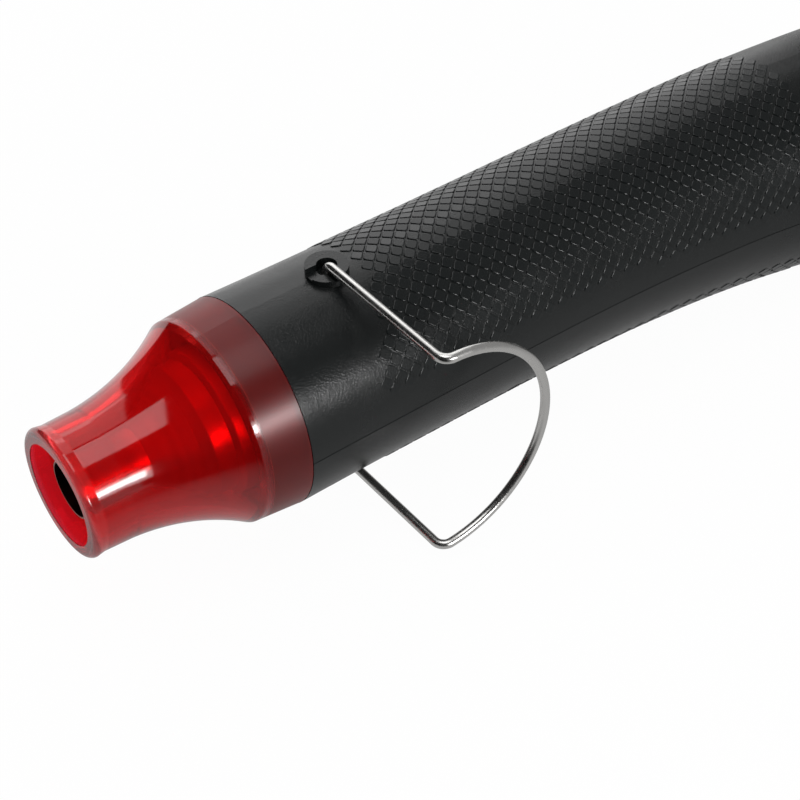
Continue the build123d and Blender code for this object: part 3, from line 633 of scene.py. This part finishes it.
def padNodes():
    # one square pad with rounded corners and a bevel, set on every point
    tree = bpy.data.node_groups.new("gripPadPattern", "GeometryNodeTree")
    face = tree.interface
    face.new_socket("Geometry", in_out="INPUT", socket_type="NodeSocketGeometry")
    for label in ("Width", "Height", "Sink", "Bevel", "Crown", "Corner"):
        face.new_socket(label, in_out="INPUT", socket_type="NodeSocketFloat")
    face.new_socket("Material", in_out="INPUT", socket_type="NodeSocketMaterial")
    face.new_socket("Geometry", in_out="OUTPUT", socket_type="NodeSocketGeometry")
    given = addNode(tree, "NodeGroupInput", (-1200, 0)).outputs
    out = addNode(tree, "NodeGroupOutput", (1400, 0))
    link = tree.links.new

    # outline of the square
    outline = addNode(tree, "GeometryNodeCurvePrimitiveQuadrilateral", (-900, 300))
    rounded = addNode(tree, "GeometryNodeFilletCurve", (-700, 300), {"Count": 1}, mode="POLY")
    filled = addNode(tree, "GeometryNodeFillCurve", (-500, 300), mode="NGONS")
    link(given["Width"], outline.inputs["Width"])
    link(given["Width"], outline.inputs["Height"])
    link(outline.outputs["Curve"], rounded.inputs["Curve"])
    link(given["Corner"], rounded.inputs["Radius"])
    link(rounded.outputs["Curve"], filled.inputs["Curve"])

    # walls, bevel and a slight crown on top
    wallHeight = combine(tree, "ADD", (-700, 0), given["Height"], given["Sink"])
    shoulder = combine(tree, "SUBTRACT", (-500, 0), wallHeight, given["Bevel"])
    walls = addNode(tree, "GeometryNodeExtrudeMesh", (-300, 300))
    link(filled.outputs["Mesh"], walls.inputs["Mesh"])
    link(shoulder, walls.inputs["Offset Scale"])
    slant = addNode(tree, "GeometryNodeExtrudeMesh", (-100, 300))
    link(walls.outputs["Mesh"], slant.inputs["Mesh"])
    link(walls.outputs["Top"], slant.inputs["Selection"])
    link(given["Bevel"], slant.inputs["Offset Scale"])
    narrowed = narrowTop(tree, slant, given["Bevel"], given["Width"], (100, 300))
    crown = addNode(tree, "GeometryNodeExtrudeMesh", (200, 700), {"Offset Scale": 0.0})
    link(narrowed.outputs["Geometry"], crown.inputs["Mesh"])
    link(slant.outputs["Top"], crown.inputs["Selection"])
    flat = narrowTop(tree, crown, given["Crown"], given["Width"], (400, 700))
    smooth = addNode(tree, "GeometryNodeSetShadeSmooth", (600, 700))
    link(flat.outputs["Geometry"], smooth.inputs["Geometry"])

    # closed from below, turned onto its corner and sunk a little into the skin
    under = addNode(tree, "GeometryNodeFlipFaces", (-300, 600))
    closed = addNode(tree, "GeometryNodeJoinGeometry", (300, 400))
    sewn = addNode(tree, "GeometryNodeMergeByDistance", (450, 400), {"Distance": gripPads["sewnWithin"]})
    shift = addNode(tree, "ShaderNodeCombineXYZ", (450, 100))
    pad = addNode(tree, "GeometryNodeTransform", (600, 400), {"Rotation": (0, 0, radians(45))})
    link(filled.outputs["Mesh"], under.inputs["Mesh"])
    link(under.outputs["Mesh"], closed.inputs["Geometry"])
    link(smooth.outputs["Geometry"], closed.inputs["Geometry"])
    link(closed.outputs["Geometry"], sewn.inputs["Geometry"])
    link(combine(tree, "MULTIPLY", (300, 100), given["Sink"], -1.0), shift.inputs["Z"])
    link(sewn.outputs["Geometry"], pad.inputs["Geometry"])
    link(shift.outputs["Vector"], pad.inputs["Translation"])

    # one on each point, standing on the skin and lined up with the tool
    reader = "GeometryNodeInputNamedAttribute"
    upward = addNode(tree, reader, (300, -300), {"Name": "padNormal"}, data_type="FLOAT_VECTOR")
    onward = addNode(tree, reader, (300, -500), {"Name": "padAlong"}, data_type="FLOAT_VECTOR")
    stood = addNode(tree, "FunctionNodeAlignRotationToVector", (600, -200), axis="Z")
    turned = addNode(tree, "FunctionNodeAlignRotationToVector", (800, -200), axis="X", pivot_axis="Z")
    spread = addNode(tree, "GeometryNodeInstanceOnPoints", (800, 200))
    real = addNode(tree, "GeometryNodeRealizeInstances", (1000, 200))
    painted = addNode(tree, "GeometryNodeSetMaterial", (1200, 200))
    link(upward.outputs["Attribute"], stood.inputs["Vector"])
    link(stood.outputs["Rotation"], turned.inputs["Rotation"])
    link(onward.outputs["Attribute"], turned.inputs["Vector"])
    link(given["Geometry"], spread.inputs["Points"])
    link(pad.outputs["Geometry"], spread.inputs["Instance"])
    link(turned.outputs["Rotation"], spread.inputs["Rotation"])
    link(spread.outputs["Instances"], real.inputs["Geometry"])
    link(real.outputs["Geometry"], painted.inputs["Geometry"])
    link(given["Material"], painted.inputs["Material"])
    link(painted.outputs["Geometry"], out.inputs["Geometry"])
    return tree


def socketName(tree, label):
    return next(
        item.identifier for item in tree.interface.items_tree if item.in_out == "INPUT" and item.name == label
    )


def fromNodes(name, tree, points, attributes, values, body):
    # runs a node tree over a cloud of points and keeps the plain mesh that it makes
    seed = bpy.data.meshes.new(name + "Points")
    seed.from_pydata([tuple(point) for point in points], [], [])
    for label, vectors in attributes.items():
        layer = seed.attributes.new(label, "FLOAT_VECTOR", "POINT")
        layer.data.foreach_set("vector", [number for vector in vectors for number in vector])
    holder = bpy.data.objects.new(name + "Seed", seed)
    bpy.context.scene.collection.objects.link(holder)
    modifier = holder.modifiers.new("pattern", "NODES")
    modifier.node_group = tree
    for label, value in values.items():
        modifier[socketName(tree, label)] = value
    graph = bpy.context.evaluated_depsgraph_get()
    mesh = bpy.data.meshes.new_from_object(holder.evaluated_get(graph))
    bpy.data.objects.remove(holder)
    piece = bpy.data.objects.new(name, mesh)
    mesh.name = name
    bpy.context.scene.collection.objects.link(piece)
    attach(piece, body)
    return piece


padTree = padNodes()
padShape = {label.capitalize(): gripPads[label] for label in ("height", "sink", "bevel", "crown", "corner")}
padShape["Width"] = gripPads["pitch"] - gripPads["groove"]
padShape["Material"] = blackPads.material
for side, label in ((1, "left"), (-1, "right")):
    points, normals, slopes = zip(*padPlaces(side))
    directions = {"padNormal": normals, "padAlong": slopes}
    pads = fromNodes(label + "_grip_pads", padTree, points, directions, padShape, "housing")
    print(pads.name, len(points), "pads", len(pads.data.polygons), "faces")


# camera, as the photograph was taken
photoCamera = {
    "place": (-0.194086, -0.185877, 0.228639),
    "right": (0.79524, -0.60624, -0.00870),
    "up": (0.41399, 0.53246, 0.73831),
    "back": (-0.44296, -0.59073, 0.67441),
    "lens": 77.474,
    "sensor": 36.0,
    "near": 0.01,
    "far": 20.0,
}


def makeCamera():
    lens = bpy.data.cameras.new("camera")
    lens.lens = photoCamera["lens"]
    lens.sensor_width = photoCamera["sensor"]
    lens.clip_start = photoCamera["near"]
    lens.clip_end = photoCamera["far"]
    camera = bpy.data.objects.new("camera", lens)
    columns = [Vector(photoCamera[key]).normalized() for key in ("right", "up", "back")]
    camera.matrix_world = Matrix.Translation(photoCamera["place"]) @ Matrix(columns).transposed().to_4x4()
    bpy.context.scene.collection.objects.link(camera)
    bpy.context.scene.camera = camera


# soft boxes: where each stands, its size along and across, and how bright it looks
# a level one faces straight down, and the others face the mouth
lamps = {
    "overheadBox": {"place": (-0.09, -0.085, 0.92), "size": (0.56, 0.55), "glow": 1.9, "level": True},
    "backRoof": {"place": (0.31, 0.74, 0.92), "size": (0.86, 1.0), "glow": 0.8, "level": True},
    "backPanel": {"place": (0.36, 0.95, 0.42), "size": (0.92, 0.9), "glow": 0.95, "level": False},
    "frontGlow": {"place": (0.2, -0.98, 0.26), "size": (0.5, 0.72), "glow": 0.45, "level": False},
    "frontStrip": {"place": (0.07, -0.93, 0.33), "size": (0.42, 0.28), "glow": 4.0, "level": False},
    "frontCore": {"place": (0.06, -0.9, 0.325), "size": (0.32, 0.14), "glow": 18.0, "level": False},
}


def makeLamps():
    for name, lamp in lamps.items():
        light = bpy.data.lights.new(name, "AREA")
        light.shape = "RECTANGLE"
        light.size, light.size_y = lamp["size"]
        light.energy = lamp["glow"] * pi * light.size * light.size_y
        box = bpy.data.objects.new(name, light)
        box.location = lamp["place"]
        box.visible_camera = False
        if not lamp["level"]:
            box.rotation_euler = (Vector(lamp["place"]) - mouthCentre).to_track_quat("Z", "Y").to_euler()
        bpy.context.scene.collection.objects.link(box)


# floor and room: white when seen, a soft fill as light, and darker and uneven in a reflection
surround = {
    "floorSize": 6.0,
    "floorBelow": 0.2 * mm,
    "floorColour": (0.9, 0.9, 0.9),
    "floorRoughness": 0.9,
    "whiteShare": 0.97,
    "fill": 0.48,
    # the mirrored floor: its level, what is added behind the tool, what is left at the tail
    "floorMirrored": 0.42,
    "floorBehind": 0.42,
    "tailShare": 0.65,
    # where each change starts and ends on the floor
    "behindEnds": (0.02, 0.1),
    "beforeEnds": (-0.03, -0.09),
    "noseEnds": (-0.05, -0.12),
    "tailEnds": (-0.05, 0.15),
    # the mirrored room pales towards the tail
    "roomMirrored": 0.24,
    "roomEnds": (0.15, 0.6),
}


def seenBy(tree):
    # one for camera rays and rays through the cap, and one for reflections
    paths = addNode(tree, "ShaderNodeLightPath", (-900, 400)).outputs
    direct = combine(tree, "MAXIMUM", (-700, 400), paths["Is Camera Ray"], paths["Is Transmission Ray"])
    return direct, paths["Is Glossy Ray"]


def mirroredFloor(tree):
    # paler behind the tool, dark in front of the nozzle
    coords = addNode(tree, "ShaderNodeTexCoord", (-1500, -300))
    parts = addNode(tree, "ShaderNodeSeparateXYZ", (-1300, -300))
    tree.links.new(coords.outputs["Object"], parts.inputs["Vector"])
    x, y = parts.outputs["X"], parts.outputs["Y"]
    behind = ramp(tree, y, (-1100, 0), surround["behindEnds"], (0.0, surround["floorBehind"]))
    before = ramp(tree, y, (-1100, -300), surround["beforeEnds"])
    nose = ramp(tree, x, (-1100, -600), surround["noseEnds"])
    tail = ramp(tree, x, (-1100, 300), surround["tailEnds"], (1.0, surround["tailShare"]))
    lit = combine(tree, "ADD", (-900, 0), surround["floorMirrored"], behind)
    paled = combine(tree, "MULTIPLY", (-700, 0), lit, tail)
    corner = combine(tree, "MULTIPLY", (-900, -400), before, nose)
    kept = combine(tree, "SUBTRACT", (-700, -400), 1.0, corner)
    return combine(tree, "MULTIPLY", (-500, -200), paled, kept)


def makeFloor():
    size = surround["floorSize"]
    mesh = bpy.data.meshes.new("floor")
    mesh.from_pydata([(-size, -size, 0), (size, -size, 0), (size, size, 0), (-size, size, 0)], [], [(0, 1, 2, 3)])
    floor = bpy.data.objects.new("floor", mesh)
    floor.location.z = cadBox[0].z - surround["floorBelow"]
    bpy.context.scene.collection.objects.link(floor)
    material = bpy.data.materials.new("floorPaper")
    material.use_nodes = True
    tree = material.node_tree
    shader = tree.nodes["Principled BSDF"]
    shader.inputs["Base Color"].default_value = (*surround["floorColour"], 1)
    shader.inputs["Roughness"].default_value = surround["floorRoughness"]
    shader.inputs["Specular IOR Level"].default_value = 0.0
    direct, glossy = seenBy(tree)
    white = addNode(tree, "ShaderNodeEmission", (0, -400), {"Strength": 1.0})
    mirrored = addNode(tree, "ShaderNodeEmission", (300, -400))
    seen = addNode(tree, "ShaderNodeMixShader", (300, 100))
    both = addNode(tree, "ShaderNodeMixShader", (600, 100))
    tree.links.new(combine(tree, "MULTIPLY", (-300, 300), direct, surround["whiteShare"]), seen.inputs["Fac"])
    tree.links.new(shader.outputs[0], seen.inputs[1])
    tree.links.new(white.outputs[0], seen.inputs[2])
    tree.links.new(mirroredFloor(tree), mirrored.inputs["Strength"])
    tree.links.new(glossy, both.inputs["Fac"])
    tree.links.new(seen.outputs[0], both.inputs[1])
    tree.links.new(mirrored.outputs[0], both.inputs[2])
    tree.links.new(both.outputs[0], tree.nodes["Material Output"].inputs["Surface"])
    mesh.materials.append(material)


def makeWorld():
    world = bpy.data.worlds.new("studio")
    world.use_nodes = True
    bpy.context.scene.world = world
    tree = world.node_tree
    tree.nodes.clear()
    direct, glossy = seenBy(tree)
    coords = addNode(tree, "ShaderNodeTexCoord", (-900, -200))
    parts = addNode(tree, "ShaderNodeSeparateXYZ", (-700, -200))
    tree.links.new(coords.outputs["Generated"], parts.inputs["Vector"])
    room = ramp(tree, parts.outputs["X"], (-500, -200), surround["roomEnds"], (0.0, surround["roomMirrored"]))
    level = addNode(tree, "ShaderNodeMix", (-200, 0), {"A": surround["fill"]}, data_type="FLOAT")
    white = addNode(tree, "ShaderNodeMix", (100, 100), {"B": 1.0}, data_type="FLOAT")
    glow = addNode(tree, "ShaderNodeBackground", (300, 100), {"Color": (1, 1, 1, 1)})
    out = addNode(tree, "ShaderNodeOutputWorld", (500, 0))
    tree.links.new(glossy, level.inputs["Factor"])
    tree.links.new(room, level.inputs["B"])
    tree.links.new(direct, white.inputs["Factor"])
    tree.links.new(level.outputs["Result"], white.inputs["A"])
    tree.links.new(white.outputs["Result"], glow.inputs["Strength"])
    tree.links.new(glow.outputs[0], out.inputs["Surface"])


makeCamera()
makeLamps()
makeFloor()
makeWorld()
bpy.context.scene.view_settings.view_transform = "Standard"
print("camera, floor, world and", len(lamps), "lamps made")
